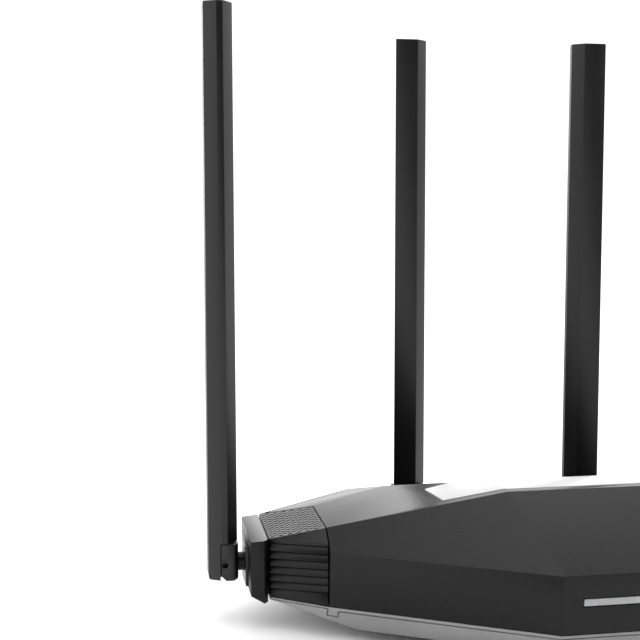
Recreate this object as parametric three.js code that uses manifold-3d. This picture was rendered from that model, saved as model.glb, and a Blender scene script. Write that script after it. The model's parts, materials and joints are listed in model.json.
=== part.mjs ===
// Desktop wireless router: faceted housing, ribbed and perforated end wings, four folding blade antennas.
// Millimetres, +Z up, feet on Z = 0, X = 0 is the plane of symmetry, -Y is the front (nose).
import * as THREE from "three";
import Module from "manifold-3d";
import { mergeVertices } from "three/addons/utils/BufferGeometryUtils.js";
import { ConvexGeometry } from "three/addons/geometries/ConvexGeometry.js";

// ---- driving dimensions ----
const SHIFT_Y = -3.7; // moves the model so that its bounding box is centred on the origin
const SEAM_X = 81.8; // half length of the main housing
const GAP = 0.4; // joint line between housing pieces
const TOP_SLOPE = 0.23; // rise of the main roof facet towards the centre
const TOP_Z = 34.2; // roof height at the seam
const PLATEAU_X = 28.0; // half width of the flat crown
const BACK_Y = 56.0; // rear wall
const BACK_Z = 26.7; // top of the rear wall
const BACK_SLOPE = 0.265; // fall of the centre roof towards the rear wall
const BELT_Z = 28.4; // crease round the front
const SKIRT_Z = 10.8; // bottom of the housing sides
const FLOOR_Z = 3.2; // underside of the base
const WALL = 2.4; // housing wall
const SHAFT_Z = 18.5; // axis height of every antenna swivel
const SHAFT_R = 3.0;
const BOSS = 13.0; // square antenna boss
const BLADE_TOP = 196.5;
const BLADE_FOOT = 14.0;
const REAR_ANT_X = 35.3; // rear antenna pitch from the centre plane
const PIN_R = 0.8;
const GRILLE_PITCH = 2.7;
const LOUVRE_PITCH = 2.43;
const JACK_W = 13.4;
const JACK_H = 11.8;
const JACK_D = 18.0;
const JACK_PITCH = 13.8;

const wasm = await Module();
wasm.setup();

// ---- helpers ----
function solid(geometry) {
  let g = geometry.clone();
  g.deleteAttribute("normal");
  g.deleteAttribute("uv");
  g = mergeVertices(g, 1e-4);
  const index = g.index
    ? Uint32Array.from(g.index.array)
    : Uint32Array.from({ length: g.attributes.position.count }, (_, i) => i);
  return new wasm.Manifold(
    new wasm.Mesh({
      numProp: 3,
      vertProperties: Float32Array.from(g.attributes.position.array),
      triVerts: index,
    }),
  );
}
function geometryOf(s) {
  const m = s.getMesh();
  const g = new THREE.BufferGeometry();
  const v = new Float32Array(m.numVert * 3);
  for (let i = 0; i < m.numVert; i++)
    v.set(m.vertProperties.subarray(i * m.numProp, i * m.numProp + 3), i * 3);
  g.setAttribute("position", new THREE.BufferAttribute(v, 3));
  g.setIndex(new THREE.BufferAttribute(Uint32Array.from(m.triVerts), 1));
  g.computeVertexNormals();
  return g;
}
function moved(s, fn, flip = false) {
  const m = s.getMesh();
  const v = new Float32Array(m.numVert * 3);
  for (let i = 0; i < m.numVert; i++) {
    const o = i * m.numProp;
    v.set(
      fn([
        m.vertProperties[o],
        m.vertProperties[o + 1],
        m.vertProperties[o + 2],
      ]),
      i * 3,
    );
  }
  const t = Uint32Array.from(m.triVerts);
  if (flip)
    for (let i = 0; i < t.length; i += 3) [t[i], t[i + 1]] = [t[i + 1], t[i]];
  return new wasm.Manifold(
    new wasm.Mesh({ numProp: 3, vertProperties: v, triVerts: t }),
  );
}
const mirrored = (s) => moved(s, ([x, y, z]) => [-x, y, z], true);
const shifted = (s, dx, dy, dz) =>
  moved(s, ([x, y, z]) => [x + dx, y + dy, z + dz]);
const hull = (points) =>
  solid(new ConvexGeometry(points.map((p) => new THREE.Vector3(...p))));
const both = (points) =>
  points.flatMap(([x, y, z]) => [
    [x, y, z],
    [-x, y, z],
  ]);
function box(x0, x1, y0, y1, z0, z1) {
  const g = new THREE.BoxGeometry(x1 - x0, y1 - y0, z1 - z0);
  g.translate((x0 + x1) / 2, (y0 + y1) / 2, (z0 + z1) / 2);
  return solid(g);
}
function cylinder(axis, r, a, b, c1, c2, sides = 24) {
  // from a to b along the axis; c1 and c2 are the other two coordinates in X, Y, Z order
  const g = new THREE.CylinderGeometry(r, r, b - a, sides);
  if (axis === "x") {
    g.rotateZ(Math.PI / 2);
    g.translate((a + b) / 2, c1, c2);
  } else if (axis === "y") g.translate(c1, (a + b) / 2, c2);
  else {
    g.rotateX(Math.PI / 2);
    g.translate(c1, c2, (a + b) / 2);
  }
  return solid(g);
}
function prism(outline, z0, z1) {
  const shape = new THREE.Shape(outline.map(([x, y]) => new THREE.Vector2(x, y)));
  const g = new THREE.ExtrudeGeometry(shape, {
    depth: z1 - z0,
    bevelEnabled: false,
  });
  g.translate(0, 0, z0);
  return solid(g);
}
const sum = (list) => list.reduce((a, b) => a.add(b));
const cut = (a, ...list) => list.reduce((s, b) => s.subtract(b), a);

// ---- nodes ----
const group = new THREE.Group();
const MATERIALS = {
  shell: { color: 0x232325, roughness: 0.62, metalness: 0.0 },
  base: { color: 0x2a2a2c, roughness: 0.7, metalness: 0.0 },
  wing: { color: 0x1f1f21, roughness: 0.6, metalness: 0.0 },
  antenna: { color: 0x1b1b1c, roughness: 0.5, metalness: 0.0 },
  gloss: { color: 0x111112, roughness: 0.3, metalness: 0.0 },
  insert: { color: 0xe9e9ea, roughness: 0.35, metalness: 0.0 },
  metal: { color: 0xb8babd, roughness: 0.3, metalness: 1.0 },
  rubber: { color: 0x161616, roughness: 0.9, metalness: 0.0 },
  port: { color: 0x191a1b, roughness: 0.5, metalness: 0.0 },
  board: { color: 0x1f5a34, roughness: 0.6, metalness: 0.0 },
  lens: { color: 0xcfd6da, roughness: 0.25, metalness: 0.0 },
};
function node(name, s, material) {
  const mesh = new THREE.Mesh(
    geometryOf(s),
    new THREE.MeshStandardMaterial(MATERIALS[material]),
  );
  mesh.name = name;
  mesh.position.set(0, SHIFT_Y, 0);
  group.add(mesh);
}

// ---- main housing ----
const crownZ = TOP_Z + TOP_SLOPE * (SEAM_X - PLATEAU_X);
const crownBackY = BACK_Y - (crownZ - BACK_Z) / BACK_SLOPE;
const roofPoints = (dz) =>
  both([
    [-SEAM_X, -20.5, TOP_Z + dz],
    [-SEAM_X, 5.4, TOP_Z + dz],
    [-SEAM_X, 34.7, 28.0 + dz],
    [-60.6, BACK_Y, BACK_Z + dz],
    [-57.0, 6.2, 39.9 + dz],
    [-PLATEAU_X, -34.0, crownZ + dz],
    [-PLATEAU_X, crownBackY, crownZ + dz],
    [-SEAM_X, -27.9, BELT_Z + dz],
    [-20.0, -61.7, BELT_Z + dz],
  ]);
const skirtPoints = (z) =>
  both([
    [-SEAM_X, -25.8, z],
    [-20.0, -60.6, z],
    [-60.6, BACK_Y, z],
    [-SEAM_X, 34.7, z],
  ]);
// the rear corners of the housing reach out behind the wings
const cornerPoints = both([
  [-98.9, 17.6, 29.0],
  [-98.9, 17.6, SKIRT_Z],
]);
const wingBay = (m) =>
  prism(
    [
      [-120, -50],
      [-SEAM_X - m, -50],
      [-SEAM_X - m, 5.6 - m],
      [-98.9 - m, 17.9 - m],
      [-120, 17.9 - m],
    ],
    -5,
    70,
  );
const outer = cut(
  hull([...roofPoints(0), ...skirtPoints(SKIRT_Z), ...cornerPoints]),
  wingBay(0),
  mirrored(wingBay(0)),
);
const inner = hull(
  [...roofPoints(-WALL), ...skirtPoints(SKIRT_Z - 3)].map(([x, y, z]) => [
    x * 0.968,
    y < 0 ? y * 0.955 : y * 0.95,
    z,
  ]),
);
// crown insert: a shallow inlay over the crown and the start of the side facets
const insertOutline = (m) => [
  [-47.6 - m, -9.4 + m * 0.4],
  [-45.8 - m, -25.5 - m],
  [-27.0 - m * 0.3, -30.8 - m],
  [27.0 + m * 0.3, -30.8 - m],
  [45.8 + m, -25.5 - m],
  [47.6 + m, -9.4 + m * 0.4],
  [0, -10.6 + m],
];
const lowered = (dz) =>
  hull([...roofPoints(dz), ...skirtPoints(SKIRT_Z + Math.min(dz, 0) - 1)]);
const insertCut = prism(insertOutline(0.3), 30, 60).subtract(lowered(-1.0));
const insertPlate = prism(insertOutline(0), 30, 60)
  .intersect(lowered(0.12))
  .subtract(lowered(-0.7));
const rearWindow = box(-58.4, 58.4, BACK_Y - 6, BACK_Y + 2, 9.0, 26.1);
const lensCut = box(-14.3, 14.3, -64, -55, 19.0, 21.6);
const allLowered = (dz) =>
  hull([
    ...roofPoints(dz),
    ...skirtPoints(SKIRT_Z + dz - 1),
    ...cornerPoints.map(([x, y, z]) => [x, y, z + dz - (z < 20 ? 1 : 0)]),
  ]);
const rimStrip = [
  [-98.9, 15.9],
  [-98.9, 12.6],
  [-60.8, 51.8],
  [60.8, 51.8],
  [98.9, 12.6],
  [98.9, 15.9],
  [60.0, 54.65],
  [-60.0, 54.65],
];
const rimGroove = prism(rimStrip, 20, 60).subtract(allLowered(-0.6));
let shell = cut(outer, inner, insertCut, rearWindow, lensCut, rimGroove);
node("top_shell", shell, "shell");
node("crown_insert", insertPlate, "insert");
node(
  "status_lens",
  box(-14, 14, -61.35, -58.2, 19.3, 21.3),
  "lens",
);

// ---- base ----
const baseOuter = hull(
  both([
    [-98.9, -13.4, SKIRT_Z - 0.3],
    [-SEAM_X, -25.7, SKIRT_Z - 0.3],
    [-20.0, -60.4, SKIRT_Z - 0.3],
    [-60.6, BACK_Y - 0.2, SKIRT_Z - 0.3],
    [-98.5, 17.4, SKIRT_Z - 0.3],
    [-98.7, -12.0, SKIRT_Z - 1.5],
    [-98.7, 15.0, SKIRT_Z - 1.5],
    [-73.0, -27.0, FLOOR_Z],
    [-20.0, -56.2, FLOOR_Z],
    [-52.0, 50.0, FLOOR_Z],
    [-73.0, 30.0, FLOOR_Z],
  ]),
);
const baseInset = hull(
  both([
    [-98.9 * 0.994, -13.4 * 0.98, SKIRT_Z - 0.3],
    [-SEAM_X * 0.994, -25.7 * 0.985, SKIRT_Z - 0.3],
    [-20.0, -60.4 * 0.992, SKIRT_Z - 0.3],
    [-60.6 * 0.994, (BACK_Y - 0.2) * 0.992, SKIRT_Z - 0.3],
    [-98.5 * 0.994, 17.4 * 0.985, SKIRT_Z - 0.3],
    [-73.0 * 0.99, -27.0 * 0.985, FLOOR_Z],
    [-20.0, -56.2 * 0.992, FLOOR_Z],
    [-52.0, 50.0 * 0.992, FLOOR_Z],
    [-73.0 * 0.99, 30.0 * 0.985, FLOOR_Z],
  ]),
);
const jointMarks = cut(
  sum([
    box(-78.9, 78.9, -70, 70, SKIRT_Z - 1.75, SKIRT_Z - 1.4),
    box(-110, -82.0, -70, 70, SKIRT_Z - 1.2, SKIRT_Z - 0.9),
    box(82.0, 110, -70, 70, SKIRT_Z - 1.2, SKIRT_Z - 0.9),
    ...[-1, 1].flatMap((k) => [
      box(k * 82.1 - 0.15, k * 82.1 + 0.15, -70, -10, 6.9, SKIRT_Z - 0.9),
      box(k * 79.05 - 0.15, k * 79.05 + 0.15, -70, -10, 6.9, SKIRT_Z - 1.4),
      box(k * 80.6 - 1.6, k * 80.6 + 1.6, -70, -10, 6.9, 7.2),
    ]),
  ]),
  baseInset,
);
const tray = hull(
  both([
    [-70, -25, 5.6],
    [-19, -52.5, 5.6],
    [-51, 47.5, 5.6],
    [-70, 28, 5.6],
    [-74, -26, 12],
    [-19.5, -54.5, 12],
    [-54, 50.5, 12],
    [-74, 30, 12],
  ]),
);
const FEET = [
  [-50, -24],
  [50, -24],
  [-45, 36],
  [45, 36],
];
const SCREWS = [
  [-62, -8],
  [62, -8],
  [-58, 26],
  [58, 26],
];
let base = cut(baseOuter, tray, jointMarks);
for (const [x, y] of [
  [-44, -24],
  [44, -24],
  [-44, 30],
  [44, 30],
])
  base = base.add(cylinder("z", 3.2, 5.0, 10.0, x, y, 20));
for (const [x, y] of SCREWS)
  base = base.add(cylinder("z", 4.2, 5.0, 9.5, x, y, 20));
for (const [x, y] of FEET)
  base = base.subtract(cylinder("z", 6.3, 0, 4.1, x, y, 32));
for (const [x, y] of SCREWS)
  base = cut(
    base,
    cylinder("z", 2.9, 0, 5.6, x, y, 20),
    cylinder("z", 1.5, 0, 12, x, y, 16),
  );
// ventilation slots through the floor
for (let i = -5; i <= 5; i++)
  base = base.subtract(box(i * 6 - 1.2, i * 6 + 1.2, -8, 16, 0, 7));
node("base", base, "base");
FEET.forEach(([x, y], i) =>
  node(
    "foot_" + (i + 1),
    cylinder("z", 6.0, 0, 3.8, x, y, 32),
    "rubber",
  ),
);
SCREWS.forEach(([x, y], i) =>
  node(
    "base_screw_" + (i + 1),
    cut(
      cylinder("z", 2.6, 3.5, 5.3, x, y, 20).add(
        cylinder("z", 1.2, 5.0, 9.3, x, y, 16),
      ),
      box(x - 1.5, x + 1.5, y - 0.3, y + 0.3, 3, 4.1),
      box(x - 0.3, x + 0.3, y - 1.5, y + 1.5, 3, 4.1),
    ),
    "metal",
  ),
);
node("main_board", box(-50, 50, -34, 48, 10.4, 12.0), "board");

// ---- wings, left and right ----
const WX = -(SEAM_X + GAP); // inner face of a wing
const GRILLE_SLOPE = (TOP_Z - 29) / (98.9 - SEAM_X);
const wingZ = (x) => 29 + GRILLE_SLOPE * (x + 98.9);
const wingTop = wingZ(WX);
const wing0 = hull([
  [-98.9, -12.2, 29],
  [-98.9, 17.6, 29],
  [WX, -20.4, wingTop],
  [WX, 5.2, wingTop],
  [WX, 34.3, 27.9],
  [WX, -25.6, 30.5],
  [WX, -25.8, SKIRT_Z],
  [-98.95, -13.3, SKIRT_Z],
  [-98.95, -12.35, 27.8],
  [WX, 34.3, SKIRT_Z],
  [-98.9, 17.6, SKIRT_Z],
]).intersect(wingBay(GAP));
// louvre panel along the wing's front face
const U = new THREE.Vector2(16.2, -12.2).normalize();
const N = new THREE.Vector2(U.y, -U.x);
const L0 = new THREE.Vector2(-98.35, -13.75);
const LOUVRE_L = 20.2;
const louvrePoint = (s, d, z) => [
  L0.x + U.x * s + N.x * d,
  L0.y + U.y * s + N.y * d,
  z + (s / LOUVRE_L) * 1.75,
];
const louvreSlab = (s0, s1, d0, d1, z0, z1) =>
  hull(
    [s0, s1].flatMap((s) =>
      [d0, d1].flatMap((d) => [
        louvrePoint(s, d, z1),
        [...louvrePoint(s, d, z0).slice(0, 2), z0],
      ]),
    ),
  );
const wingCut = louvreSlab(-4, LOUVRE_L + 4, -2.4, 4, 8, 27.9);
const grillePoint = (x, y, dz) => [x, y, wingZ(x) + dz];
const grilleOutline = (m) => [
  [-98.75 + m, -12.0 + m],
  [-98.75 + m, 16.9 - m],
  [-82.35 - m, 5.1 - m],
  [-82.35 - m, -20.05 + m],
];
const grilleBody = (m, lo, hi) =>
  hull(
    grilleOutline(m).flatMap(([x, y]) => [
      grillePoint(x, y, lo),
      grillePoint(x, y, hi),
    ]),
  );
const wing = cut(
  wing0,
  wingCut,
  grilleBody(0, -1.7, 3),
  // duct under the grille, open to the grille pocket
  grilleBody(1.6, -9, 0),
);
let louvre = louvreSlab(-0.6, LOUVRE_L + 0.6, -2.1, -1.0, SKIRT_Z + 0.1, 27.6);
for (let i = 0; i < 7; i++) {
  const top = 27.6 - i * LOUVRE_PITCH;
  const low = i === 6 ? SKIRT_Z + 0.1 : top - LOUVRE_PITCH + 0.55;
  const tooth = [];
  for (const s of [-0.6, LOUVRE_L + 0.6]) {
    tooth.push(louvrePoint(s, -1.4, top));
    tooth.push(louvrePoint(s, -0.75, top));
    if (i === 6) {
      const p = louvrePoint(s, 0, 0);
      tooth.push([p[0], p[1], low]);
      const q = louvrePoint(s, -1.4, 0);
      tooth.push([q[0], q[1], low]);
    } else {
      tooth.push(louvrePoint(s, 0.15, low));
      tooth.push(louvrePoint(s, -1.4, low));
    }
  }
  louvre = louvre.add(hull(tooth));
}
louvre = cut(
  louvre,
  box(WX, -60, -60, 60, 0, 60),
  box(-120, -98.95, -60, 60, 0, 60),
);
let grille = grilleBody(0.3, -1.3, 0);
for (let c = 0; c < 5; c++)
  for (let r = 0; r < 5; r++) {
    const x = -95.7 + c * 2.75;
    const y = -9.0 + r * 5.2 - (c * 2.75 * 1.2) / 4;
    if (y + 3.4 > 14.0 - (c * 2.75 * 12.0) / 15) continue;
    grille = grille.subtract(box(x, x + 1.4, y, y + 3.4, 20, 40));
  }
const endCap0 = hull([
  [-105, 15.3, 29],
  [-105, -15.3, 29],
  [-100.6, -14.5, 29],
  [-99.3, -12.4, 29],
  [-99.3, 17.3, 29],
  [-105, -15.3, 11.7],
  [-100.6, -14.5, 8.8],
  [-99.3, -12.4, 8.7],
  [-105, 2, 11.6],
  [-105, 15.3, 20.5],
  [-99.3, 17.3, 17.5],
  [-99.3, 10.0, 9.5],
]);
const bossHalf = BOSS / 2;
const endCap = cut(
  endCap0,
  box(-106, -101.5, -bossHalf - 0.3, bossHalf + 0.3, SHAFT_Z - bossHalf - 0.3, SHAFT_Z + bossHalf + 0.3),
);

// ---- antenna unit, built for the left side: outward is -X, origin on the boss face centre ----
const PX = -7.1; // fold pin, from the boss face
const PZ = 15.6;
let hand = 1; // which of the two mirror mouldings is being made
const bladeSection = (k) => {
  // [outward offset, tangential] round the blade, outward is -X
  const c = -7.4;
  return [
    [c - 5.1, -3.9],
    [c + 4.3, -6.4],
    [c + 4.3, 2.3],
    [c + 1.0, 6.4],
    [c - 1.0, 6.4],
    [c - 5.1, 3.9],
  ].map(([x, y]) => [c + (x - c) * k, y * k * hand]);
};
const knuckleSection = (k) => {
  const c = -7.4;
  return [
    [c - 3.0, -6.35],
    [c + 3.2, -6.35],
    [c + 4.4, -4.7],
    [c + 4.4, 4.7],
    [c + 3.2, 6.35],
    [c - 3.0, 6.35],
  ].map(([x, y]) => [c + (x - c) * k, y * k]);
};
const at = (section, z) => section.map(([x, y]) => [x, y, z]);
const centred = (section, z, k) =>
  section.map(([x, y]) => [-7.4 + (x + 7.4) * k, y * k, z]);
const makeBladeBody = () => hull([
  ...centred(bladeSection(1), BLADE_FOOT, 0.94),
  ...at(bladeSection(1), BLADE_FOOT + 1.0),
  ...at(bladeSection(1), 28),
])
  .add(
    hull([
      ...at(bladeSection(1), 27.5),
      ...at(bladeSection(0.975), BLADE_TOP - 0.3),
      ...centred(bladeSection(0.975), BLADE_TOP, 0.96),
    ]),
  );
const LEG_X = -8.8; // the blade's outer leg runs down beside the knuckle
const makeUnit = () => ({
  blade: cut(
    makeBladeBody(),
    box(LEG_X, 0, -10, 10, 0, 26.1),
  )
    .add(
      hull([
        ...[-2.2, 2.2].flatMap((y) => [
          [LEG_X - 1, y, PZ - 1.5],
          [PX, y, PZ - 1.5],
          [PX + 1.05, y, PZ - 1.05],
          [PX + 1.5, y, PZ],
          [PX + 1.05, y, PZ + 1.05],
          [PX, y, PZ + 1.5],
          [LEG_X - 1, y, PZ + 1.5],
        ]),
      ]),
    )
    .subtract(cylinder("y", PIN_R + 0.15, -4, 4, PX, PZ, 12)),
  swivel: (() => {
    const block = cut(
      hull([
        ...at(knuckleSection(1), 14.7),
        ...at(knuckleSection(1), 25.8),
        ...centred(knuckleSection(1), 13.9, 0.93),
      ]),
      box(-20, LEG_X + 0.3, -10, 10, 0, 40), // the blade's leg
      hull(
        // relief under the fold pin
        [-10, 10].flatMap((y) => [
          [LEG_X - 2, y, PZ],
          [LEG_X + 0.3, y, PZ],
          [PX - 1.0, y, PZ - 1.0],
          [PX, y, PZ - 1.42],
          [PX, y, 8],
          [LEG_X - 2, y, 8],
        ]),
      ),
      box(-12, PX + 2.3, -2.5, 2.5, 0, PZ + 2.3), // slot for the blade's lug
      cylinder("y", PIN_R + 0.15, -4.4, 4.4, PX, PZ, 12),
      cylinder("y", 1.0, -12, -4.2, -7.3, 19.3, 16),
    );
    return block
      .add(cylinder("x", SHAFT_R, -3.6, 2.9, 0, SHAFT_Z, 24))
      .add(cylinder("x", SHAFT_R + 1.2, 1.5, 2.9, 0, SHAFT_Z, 24));
  })(),
  pin: cylinder("y", PIN_R, -4.0, 4.0, PX, PZ, 12),
  boss: cut(
    box(-0.8, 3.2, -bossHalf, bossHalf, SHAFT_Z - bossHalf, SHAFT_Z + bossHalf),
    cylinder("x", SHAFT_R + 0.3, -2, 5, 0, SHAFT_Z, 24),
    cylinder("x", SHAFT_R + 1.5, 1.2, 5, 0, SHAFT_Z, 24),
  ),
});
const rearUnit = makeUnit();
hand = -1;
const sideUnit = makeUnit();
const left = (s) => shifted(s, -105, 0, 0);
const rear = (s) =>
  moved(s, ([x, y, z]) => [y - REAR_ANT_X, -x + BACK_Y + 0.6, z]);

for (const [side, place] of [
  ["left", (s) => s],
  ["right", mirrored],
]) {
  node("wing_" + side, place(wing), "wing");
  node("louvre_" + side, place(louvre), "wing");
  node("grille_" + side, place(grille), "wing");
  node("end_cap_" + side, place(endCap), "shell");
  for (const [where, put, unit] of [
    ["side", left, sideUnit],
    ["rear", rear, rearUnit],
  ]) {
    const tag = "_" + where + "_" + side;
    node("antenna_boss" + tag, place(put(unit.boss)), "gloss");
    node("antenna_swivel" + tag, place(put(unit.swivel)), "antenna");
    node("antenna_pin" + tag, place(put(unit.pin)), "metal");
    node("antenna_blade" + tag, place(put(unit.blade)), "antenna");
  }
}

// ---- rear panel and its sockets ----
const PANEL_Y0 = BACK_Y - 2.4;
const PANEL_Y1 = BACK_Y - 0.4;
const JACK_Z0 = 12.6;
const jackXs = [-1.5, -0.5, 0.5, 1.5].map((k) => k * JACK_PITCH);
const jackFor = (x) =>
  cut(
    box(x - JACK_W / 2, x + JACK_W / 2, PANEL_Y1 - JACK_D, PANEL_Y1, JACK_Z0, JACK_Z0 + JACK_H),
    box(x - 5.85, x + 5.85, PANEL_Y1 - 13.5, PANEL_Y1 + 2, JACK_Z0 + 3.0, JACK_Z0 + 10.4),
    box(x - 3.1, x + 3.1, PANEL_Y1 - 13.5, PANEL_Y1 + 2, JACK_Z0 + 1.4, JACK_Z0 + 4.0),
  );
const WAN_X = 50.6;
const DC_X = -47.6;
const BUTTON_X = -55.4;
let panel = box(-58.0, 58.0, PANEL_Y0, PANEL_Y1, 10.9, 25.8);
panel = cut(
  panel,
  box(-27.7, 27.7, 0, 80, JACK_Z0 - 0.3, JACK_Z0 + JACK_H + 0.3),
  box(WAN_X - 7.0, WAN_X + 7.0, 0, 80, JACK_Z0 - 0.3, JACK_Z0 + JACK_H + 0.3),
  cylinder("y", 4.6, 40, 70, DC_X, SHAFT_Z, 28),
  box(BUTTON_X - 2.0, BUTTON_X + 2.0, 40, 70, SHAFT_Z - 3.0, SHAFT_Z + 3.0),
);
for (const s of [-1, 1])
  panel = panel.subtract(
    box(
      s * REAR_ANT_X - bossHalf - 0.3,
      s * REAR_ANT_X + bossHalf + 0.3,
      0,
      80,
      SHAFT_Z - bossHalf - 0.3,
      SHAFT_Z + bossHalf + 0.3,
    ),
  );
node("rear_panel", panel, "port");
jackXs.forEach((x, i) => node("lan_port_" + (i + 1), jackFor(x), "port"));
node("wan_port", jackFor(WAN_X), "port");
node(
  "dc_socket",
  cut(
    cylinder("y", 4.3, PANEL_Y1 - 12, PANEL_Y1 + 0.4, DC_X, SHAFT_Z, 28),
    cylinder("y", 3.2, PANEL_Y1 - 9.5, PANEL_Y1 + 2, DC_X, SHAFT_Z, 28),
  ).add(cylinder("y", 0.9, PANEL_Y1 - 10.5, PANEL_Y1 - 1.5, DC_X, SHAFT_Z, 12)),
  "port",
);
node(
  "power_button",
  box(BUTTON_X - 1.7, BUTTON_X + 1.7, PANEL_Y1 - 5, PANEL_Y1 + 1.6, SHAFT_Z - 2.7, SHAFT_Z + 2.7),
  "gloss",
);

export default group;
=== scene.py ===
import json
import math

import bmesh
import bpy
from mathutils import Matrix, Vector


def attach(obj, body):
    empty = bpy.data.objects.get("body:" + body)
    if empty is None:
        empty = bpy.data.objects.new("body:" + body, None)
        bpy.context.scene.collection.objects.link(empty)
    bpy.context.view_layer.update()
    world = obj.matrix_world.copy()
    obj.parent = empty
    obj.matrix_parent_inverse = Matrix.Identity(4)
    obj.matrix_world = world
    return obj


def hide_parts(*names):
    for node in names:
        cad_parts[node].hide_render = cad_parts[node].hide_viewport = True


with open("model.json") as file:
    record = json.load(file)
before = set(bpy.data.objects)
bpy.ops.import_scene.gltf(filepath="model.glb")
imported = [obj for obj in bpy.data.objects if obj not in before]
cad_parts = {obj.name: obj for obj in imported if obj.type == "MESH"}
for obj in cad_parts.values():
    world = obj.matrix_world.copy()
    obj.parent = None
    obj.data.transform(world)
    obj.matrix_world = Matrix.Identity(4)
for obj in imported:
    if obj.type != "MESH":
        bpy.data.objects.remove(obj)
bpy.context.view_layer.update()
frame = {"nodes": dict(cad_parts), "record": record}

nodes = frame["nodes"]
SHIFT = -0.0037  # the model's own Y shift, in metres


# ------------------------------------------------------------------ materials
def new_material(name):
    m = bpy.data.materials.new(name)
    m.use_nodes = True
    nt = m.node_tree
    nt.nodes.clear()
    out = nt.nodes.new("ShaderNodeOutputMaterial")
    bsdf = nt.nodes.new("ShaderNodeBsdfPrincipled")
    nt.links.new(bsdf.outputs["BSDF"], out.inputs["Surface"])
    return m, nt, bsdf


def plastic(name, dark, light, rough=(0.4, 0.5), grain=1700.0, bump=0.25, depth=0.00003, spec=0.5,
            mottle=45.0, coat=0.0):
    """Moulded plastic: fine spark-eroded grain in the bump, soft mottling in colour and gloss."""
    m, nt, bsdf = new_material(name)
    tc = nt.nodes.new("ShaderNodeTexCoord")
    big = nt.nodes.new("ShaderNodeTexNoise")
    big.inputs["Scale"].default_value = mottle
    big.inputs["Detail"].default_value = 5.0
    fine = nt.nodes.new("ShaderNodeTexNoise")
    fine.inputs["Scale"].default_value = grain
    fine.inputs["Detail"].default_value = 3.0
    cells = nt.nodes.new("ShaderNodeTexVoronoi")
    cells.inputs["Scale"].default_value = grain * 0.55
    for n in (big, fine, cells):
        nt.links.new(tc.outputs["Object"], n.inputs["Vector"])
    mix = nt.nodes.new("ShaderNodeMath")
    mix.operation = "MULTIPLY_ADD"
    nt.links.new(cells.outputs["Distance"], mix.inputs[0])
    mix.inputs[1].default_value = 0.6
    nt.links.new(fine.outputs["Fac"], mix.inputs[2])
    ramp = nt.nodes.new("ShaderNodeValToRGB")
    ramp.color_ramp.elements[0].position = 0.3
    ramp.color_ramp.elements[0].color = (*dark, 1)
    ramp.color_ramp.elements[1].position = 0.7
    ramp.color_ramp.elements[1].color = (*light, 1)
    blend = nt.nodes.new("ShaderNodeMath")
    blend.operation = "MULTIPLY_ADD"
    nt.links.new(fine.outputs["Fac"], blend.inputs[0])
    blend.inputs[1].default_value = 0.35
    scaled = nt.nodes.new("ShaderNodeMath")
    scaled.operation = "MULTIPLY"
    nt.links.new(big.outputs["Fac"], scaled.inputs[0])
    scaled.inputs[1].default_value = 0.65
    nt.links.new(scaled.outputs[0], blend.inputs[2])
    nt.links.new(blend.outputs[0], ramp.inputs["Fac"])
    nt.links.new(ramp.outputs["Color"], bsdf.inputs["Base Color"])
    rr = nt.nodes.new("ShaderNodeMapRange")
    rr.inputs["From Min"].default_value = 0.3
    rr.inputs["From Max"].default_value = 0.7
    rr.inputs["To Min"].default_value = rough[0]
    rr.inputs["To Max"].default_value = rough[1]
    nt.links.new(blend.outputs[0], rr.inputs["Value"])
    nt.links.new(rr.outputs["Result"], bsdf.inputs["Roughness"])
    b = nt.nodes.new("ShaderNodeBump")
    b.inputs["Strength"].default_value = bump
    b.inputs["Distance"].default_value = depth
    nt.links.new(mix.outputs[0], b.inputs["Height"])
    nt.links.new(b.outputs["Normal"], bsdf.inputs["Normal"])
    bsdf.inputs["Specular IOR Level"].default_value = spec
    bsdf.inputs["Coat Weight"].default_value = coat
    return m


def metal(name, colour, rough=0.3, scale=900.0):
    m, nt, bsdf = new_material(name)
    tc = nt.nodes.new("ShaderNodeTexCoord")
    mp = nt.nodes.new("ShaderNodeMapping")
    mp.inputs["Scale"].default_value = (1.0, 1.0, 0.15)
    nz = nt.nodes.new("ShaderNodeTexNoise")
    nz.inputs["Scale"].default_value = scale
    nz.inputs["Detail"].default_value = 4.0
    nt.links.new(tc.outputs["Object"], mp.inputs["Vector"])
    nt.links.new(mp.outputs["Vector"], nz.inputs["Vector"])
    ramp = nt.nodes.new("ShaderNodeValToRGB")
    ramp.color_ramp.elements[0].color = (*[c * 0.75 for c in colour], 1)
    ramp.color_ramp.elements[1].color = (*colour, 1)
    nt.links.new(nz.outputs["Fac"], ramp.inputs["Fac"])
    nt.links.new(ramp.outputs["Color"], bsdf.inputs["Base Color"])
    rr = nt.nodes.new("ShaderNodeMapRange")
    rr.inputs["To Min"].default_value = rough - 0.08
    rr.inputs["To Max"].default_value = rough + 0.12
    nt.links.new(nz.outputs["Fac"], rr.inputs["Value"])
    nt.links.new(rr.outputs["Result"], bsdf.inputs["Roughness"])
    b = nt.nodes.new("ShaderNodeBump")
    b.inputs["Strength"].default_value = 0.15
    b.inputs["Distance"].default_value = 0.00002
    nt.links.new(nz.outputs["Fac"], b.inputs["Height"])
    nt.links.new(b.outputs["Normal"], bsdf.inputs["Normal"])
    bsdf.inputs["Metallic"].default_value = 1.0
    return m


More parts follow.
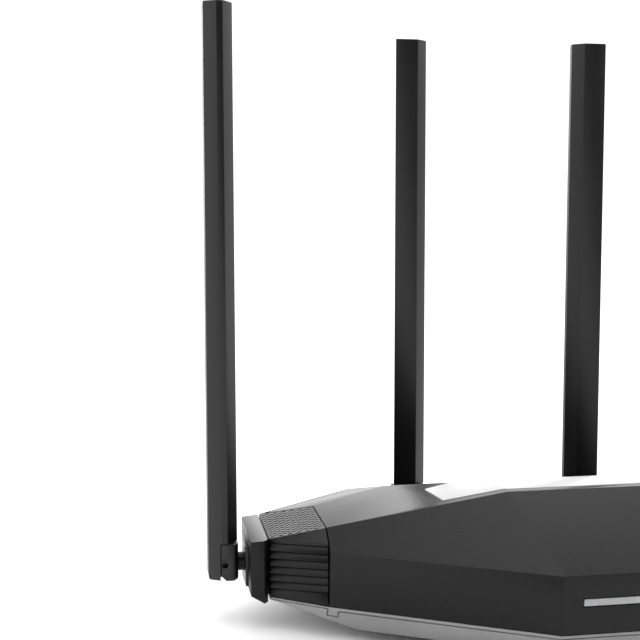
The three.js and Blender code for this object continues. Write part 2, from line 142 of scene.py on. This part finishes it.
def board_material():
    m, nt, bsdf = new_material("circuit_board")
    tc = nt.nodes.new("ShaderNodeTexCoord")
    br = nt.nodes.new("ShaderNodeTexBrick")
    br.inputs["Scale"].default_value = 220.0
    br.inputs["Color1"].default_value = (0.01, 0.10, 0.04, 1)
    br.inputs["Color2"].default_value = (0.015, 0.14, 0.055, 1)
    br.inputs["Mortar"].default_value = (0.02, 0.22, 0.08, 1)
    br.inputs["Mortar Size"].default_value = 0.04
    nt.links.new(tc.outputs["Object"], br.inputs["Vector"])
    nt.links.new(br.outputs["Color"], bsdf.inputs["Base Color"])
    bsdf.inputs["Roughness"].default_value = 0.4
    return m


MAT = {
    "shell": plastic("shell_plastic", (0.0030, 0.0030, 0.0031), (0.0060, 0.0060, 0.0061), (0.34, 0.42), grain=1400, bump=0.9, depth=0.00005, spec=0.24),
    # base: its light grey colour is partly the base plastic's own tone and partly painted reflection of the bright
    # floor on the lower bevel
    "base": plastic("base_plastic_painted_floor_reflection", (0.24, 0.24, 0.242), (0.31, 0.31, 0.312), (0.38, 0.46), grain=1400, bump=0.35),
    "wing": plastic("wing_plastic", (0.0035, 0.0035, 0.0036), (0.0065, 0.0065, 0.0066), (0.36, 0.44), grain=1700, bump=0.5, spec=0.26),
    "antenna": plastic("antenna_plastic", (0.0025, 0.0025, 0.0026), (0.0045, 0.0045, 0.0046), (0.38, 0.45), grain=2000, bump=0.06, spec=0.45),
    "gloss": plastic("satin_plastic", (0.005, 0.005, 0.0052), (0.008, 0.008, 0.0082), (0.28, 0.36), grain=2200, bump=0.12, spec=0.3),
    "insert": plastic("light_insert", (0.50, 0.50, 0.505), (0.56, 0.56, 0.565), (0.3, 0.38), grain=2200, bump=0.1),
    "metal": metal("plated_steel", (0.5, 0.5, 0.51)),
    "gold": metal("contact_gold", (0.85, 0.6, 0.22), 0.22),
    "rubber": plastic("foot_rubber", (0.012, 0.012, 0.012), (0.022, 0.022, 0.022), (0.75, 0.9), grain=900, bump=0.5),
    "port": plastic("port_plastic", (0.010, 0.010, 0.0105), (0.018, 0.018, 0.0185), (0.4, 0.5), grain=1800, bump=0.2),
    "board": board_material(),
    "lens": plastic("light_pipe", (0.30, 0.31, 0.32), (0.42, 0.43, 0.44), (0.22, 0.3), grain=900, bump=0.08),
}


# ------------------------------------------------------------------ pieces from the frame
BODY = {}
for b, names in frame["record"]["behaviour"]["bodies"].items():
    for n in names:
        BODY[n] = b
SLOT = {s["node"]: s["material_slot"] for s in frame["record"]["subparts"]}

BEVEL = {
    "top_shell": 0.45, "base": 0.45, "end_cap": 0.5, "wing": 0.3, "louvre": 0.14, "crown_insert": 0.1,
    "antenna_blade": 0.2, "antenna_swivel": 0.25, "antenna_boss": 0.35, "antenna_pin": 0.1,
    "foot": 0.5, "base_screw": 0.12, "rear_panel": 0.12, "lan_port": 0.15, "wan_port": 0.15,
    "dc_socket": 0.15, "power_button": 0.35, "status_lens": 0.15, "main_board": 0.1,
}


def refined(node):
    """A finished copy of a CAD piece: merged facets, rounded edges with their own highlights."""
    width = next(v for k, v in sorted(BEVEL.items(), key=lambda kv: -len(kv[0])) if node.startswith(k)) / 1000
    src = nodes[node]
    me = bpy.data.meshes.new("v_" + node)
    bm = bmesh.new()
    bm.from_mesh(src.data)
    bmesh.ops.remove_doubles(bm, verts=bm.verts, dist=2e-6)
    if not node.startswith("louvre"):
        bmesh.ops.dissolve_limit(bm, angle_limit=math.radians(0.8), verts=bm.verts, edges=bm.edges, use_dissolve_boundaries=False)
    bmesh.ops.recalc_face_normals(bm, faces=bm.faces)
    for f in bm.faces:
        f.smooth = True
    bm.to_mesh(me)
    bm.free()
    ob = bpy.data.objects.new("v_" + node, me)
    bpy.context.scene.collection.objects.link(ob)
    ob.matrix_world = src.matrix_world
    mod = ob.modifiers.new("edge", "BEVEL")
    mod.width = width
    mod.segments = 2
    mod.limit_method = "ANGLE"
    mod.angle_limit = math.radians(17)
    mod.harden_normals = True
    mod.use_clamp_overlap = True
    me.materials.append(MAT[SLOT[node]])
    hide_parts(node)
    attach(ob, BODY[node])
    return ob


def piece(name, verts, faces, mat, body="housing", smooth=False):
    me = bpy.data.meshes.new(name)
    me.from_pydata([tuple(v) for v in verts], [], faces)
    me.validate()
    bm = bmesh.new()
    bm.from_mesh(me)
    bmesh.ops.remove_doubles(bm, verts=bm.verts, dist=1e-6)
    bmesh.ops.recalc_face_normals(bm, faces=bm.faces)
    for f in bm.faces:
        f.smooth = smooth
    bm.to_mesh(me)
    bm.free()
    me.materials.append(MAT[mat])
    ob = bpy.data.objects.new(name, me)
    bpy.context.scene.collection.objects.link(ob)
    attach(ob, body)
    return ob


for n in list(nodes):
    if not n.startswith("grille"):
        refined(n)

# ------------------------------------------------------------------ perforated grilles
WING_SLOPE = (34.2 - 29) / (98.9 - 81.8)


def grille(side):
    sg = 1 if side == "left" else -1
    # corners, mm: outer front, outer back, inner back, inner front
    c = [(-98.6, -11.85), (-98.6, 16.75), (-82.5, 5.0), (-82.5, -19.9)]

    def at(u, v, dz=0.0):
        x0, y0 = [c[0][k] * (1 - v) + c[1][k] * v for k in (0, 1)]
        x1, y1 = [c[3][k] * (1 - v) + c[2][k] * v for k in (0, 1)]
        x, y = x0 * (1 - u) + x1 * u, y0 * (1 - v) * 0 + y0 * (1 - u) + y1 * u
        z = 29 + WING_SLOPE * (x + 98.9) + dz
        return (sg * x / 1000, y / 1000 + SHIFT, z / 1000)

    NU, NV = 12, 24
    margin_u, margin_v = 0.012, 0.010
    verts, faces = [], []

    def quad(*p):
        i = len(verts)
        verts.extend(p)
        faces.append(tuple(range(i, i + len(p))))

    us = [margin_u + (1 - 2 * margin_u) * i / NU for i in range(NU + 1)]
    vs = [margin_v + (1 - 2 * margin_v) * j / NV for j in range(NV + 1)]

    def slab(dz):
        for i in range(NU):
            for j in range(NV):
                u0, u1, v0, v1 = us[i], us[i + 1], vs[j], vs[j + 1]
                if (i + j) % 2:
                    quad(at(u0, v0, dz), at(u1, v0, dz), at(u1, v1, dz), at(u0, v1, dz))
                    continue
                a, b = (u1 - u0) * 0.02, (v1 - v0) * 0.09
                o = [at(u0, v0, dz), at(u1, v0, dz), at(u1, v1, dz), at(u0, v1, dz)]
                q = [at(u0 + a, v0 + b, dz), at(u1 - a, v0 + b, dz), at(u1 - a, v1 - b, dz), at(u0 + a, v1 - b, dz)]
                for k in range(4):
                    quad(o[k], o[(k + 1) % 4], q[(k + 1) % 4], q[k])
        # border strips, following the grid so that the skin is closed
        for i in range(NU):
            quad(at(us[i], 0, dz), at(us[i + 1], 0, dz), at(us[i + 1], vs[0], dz), at(us[i], vs[0], dz))
            quad(at(us[i], vs[-1], dz), at(us[i + 1], vs[-1], dz), at(us[i + 1], 1, dz), at(us[i], 1, dz))
        vv = [0, *vs, 1]
        for j in range(len(vv) - 1):
            quad(at(0, vv[j], dz), at(us[0], vv[j], dz), at(us[0], vv[j + 1], dz), at(0, vv[j + 1], dz))
            quad(at(us[-1], vv[j], dz), at(1, vv[j], dz), at(1, vv[j + 1], dz), at(us[-1], vv[j + 1], dz))

    slab(0.0)
    ob = piece("v_grille_" + side, verts, faces, "wing")
    bm = bmesh.new()
    bm.from_mesh(ob.data)
    bm.faces.ensure_lookup_table()
    if bm.faces[0].normal.z < 0:
        bmesh.ops.reverse_faces(bm, faces=bm.faces)
    bm.to_mesh(ob.data)
    bm.free()
    s = ob.modifiers.new("thick", "SOLIDIFY")
    s.thickness = 0.0011
    s.offset = -1.0
    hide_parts("grille_" + side)
    return ob


for side in ("left", "right"):
    grille(side)


# ------------------------------------------------------------------ socket contacts
def contacts(name, x):
    verts, faces = [], []
    for k in range(8):
        cx = x + (k - 3.5) * 1.02
        w = 0.22
        path = [(53.0, 22.3), (47.5, 19.6), (46.8, 19.2), (46.2, 19.3), (44.0, 20.8), (42.6, 22.4)]
        for (y0, z0), (y1, z1) in zip(path, path[1:]):
            i = len(verts)
            for y, z in ((y0, z0), (y1, z1)):
                for dx in (-w, w):
                    for dz in (-0.12, 0.12):
                        verts.append(((cx + dx) / 1000, y / 1000 + SHIFT, (z + dz) / 1000))
            a = [i + q for q in range(8)]
            faces += [(a[0], a[2], a[6], a[4]), (a[1], a[5], a[7], a[3]), (a[0], a[4], a[5], a[1]),
                      (a[2], a[3], a[7], a[6]), (a[0], a[1], a[3], a[2]), (a[4], a[6], a[7], a[5])]
    return piece(name, verts, faces, "gold")


for i, x in enumerate((-20.7, -6.9, 6.9, 20.7)):
    contacts("contacts_lan_%d" % (i + 1), x)
contacts("contacts_wan", 50.6)

# ------------------------------------------------------------------ stage, light and camera
me = bpy.data.meshes.new("floor")
me.from_pydata([(-6, -6, 0), (6, -6, 0), (6, 6, 0), (-6, 6, 0)], [], [(0, 1, 2, 3)])
floor = bpy.data.objects.new("floor", me)
bpy.context.scene.collection.objects.link(floor)
floor.location.z = -0.0001
fm, fnt, fb = new_material("floor_paper")
fn = fnt.nodes.new("ShaderNodeTexNoise")
fn.inputs["Scale"].default_value = 40.0
ftc = fnt.nodes.new("ShaderNodeTexCoord")
fnt.links.new(ftc.outputs["Object"], fn.inputs["Vector"])
fr = fnt.nodes.new("ShaderNodeValToRGB")
fr.color_ramp.elements[0].color = (0.90, 0.90, 0.90, 1)
fr.color_ramp.elements[1].color = (0.93, 0.93, 0.93, 1)
fnt.links.new(fn.outputs["Fac"], fr.inputs["Fac"])
fnt.links.new(fr.outputs["Color"], fb.inputs["Base Color"])
fb.inputs["Roughness"].default_value = 0.9
fb.inputs["Specular IOR Level"].default_value = 0.1
me.materials.append(fm)

world = bpy.data.worlds.new("studio")
bpy.context.scene.world = world
bpy.context.scene.view_settings.view_transform = "Standard"
world.use_nodes = True
wt = world.node_tree
wt.nodes.clear()
wo = wt.nodes.new("ShaderNodeOutputWorld")
bg = wt.nodes.new("ShaderNodeBackground")
wc = wt.nodes.new("ShaderNodeTexCoord")
sep = wt.nodes.new("ShaderNodeSeparateXYZ")
wt.links.new(wc.outputs["Generated"], sep.inputs["Vector"])
mr = wt.nodes.new("ShaderNodeMapRange")
mr.interpolation_type = "SMOOTHSTEP"
mr.inputs["From Min"].default_value = -0.74
mr.inputs["From Max"].default_value = -0.50
mr.inputs["To Min"].default_value = 0.0
mr.inputs["To Max"].default_value = 1.6
wt.links.new(sep.outputs["Y"], mr.inputs["Value"])
back = wt.nodes.new("ShaderNodeMapRange")
back.interpolation_type = "SMOOTHSTEP"
back.inputs["From Min"].default_value = 0.60
back.inputs["From Max"].default_value = 0.97
back.inputs["To Min"].default_value = 0.0
back.inputs["To Max"].default_value = 1.6
wt.links.new(sep.outputs["Y"], back.inputs["Value"])
both = wt.nodes.new("ShaderNodeMath")
both.operation = "ADD"
wt.links.new(mr.outputs["Result"], both.inputs[0])
wt.links.new(back.outputs["Result"], both.inputs[1])
wt.links.new(both.outputs[0], bg.inputs["Color"])
bg.inputs["Strength"].default_value = 1.0
bg2 = wt.nodes.new("ShaderNodeBackground")
bg2.inputs["Color"].default_value = (1, 1, 1, 1)
bg2.inputs["Strength"].default_value = 1.3
lp = wt.nodes.new("ShaderNodeLightPath")
wm = wt.nodes.new("ShaderNodeMixShader")
wt.links.new(lp.outputs["Is Camera Ray"], wm.inputs["Fac"])
wt.links.new(bg.outputs[0], wm.inputs[1])
wt.links.new(bg2.outputs[0], wm.inputs[2])
wt.links.new(wm.outputs[0], wo.inputs["Surface"])


def area(name, loc, target, size, power):
    ld = bpy.data.lights.new(name, "AREA")
    ld.shape = "SQUARE"
    ld.size = size
    ld.energy = power
    lo = bpy.data.objects.new(name, ld)
    lo.location = loc
    lo.rotation_euler = (Vector(target) - Vector(loc)).to_track_quat("-Z", "Y").to_euler()
    bpy.context.scene.collection.objects.link(lo)


area("overhead", (0.0, 0.3, 2.4), (0, 0, 0), 2.4, 22.0)

# camera: 62.5 mm on a 36 mm sensor, turned 9.4 degrees to the right and tipped 5.4 degrees down
yaw, pitch, roll = math.radians(9.368), math.radians(5.407), math.radians(-0.109)
fwd = Vector((math.sin(yaw) * math.cos(pitch), math.cos(yaw) * math.cos(pitch), -math.sin(pitch)))
rt = Vector((math.cos(yaw), -math.sin(yaw), 0))
up = rt.cross(fwd)
r2 = rt * math.cos(roll) + up * math.sin(roll)
u2 = -rt * math.sin(roll) + up * math.cos(roll)
cam_data = bpy.data.cameras.new("camera")
cam_data.lens = 62.54
cam_data.sensor_width = 36.0
cam_data.clip_start = 0.01
cam_data.clip_end = 50
cam = bpy.data.objects.new("camera", cam_data)
bpy.context.scene.collection.objects.link(cam)
m = Matrix.Identity(4)
for i in range(3):
    m[i][0], m[i][1], m[i][2] = r2[i], u2[i], -fwd[i]
m[0][3], m[1][3], m[2][3] = -0.138745, -0.353618 + SHIFT, 0.130964
cam.matrix_world = m
bpy.context.scene.camera = cam
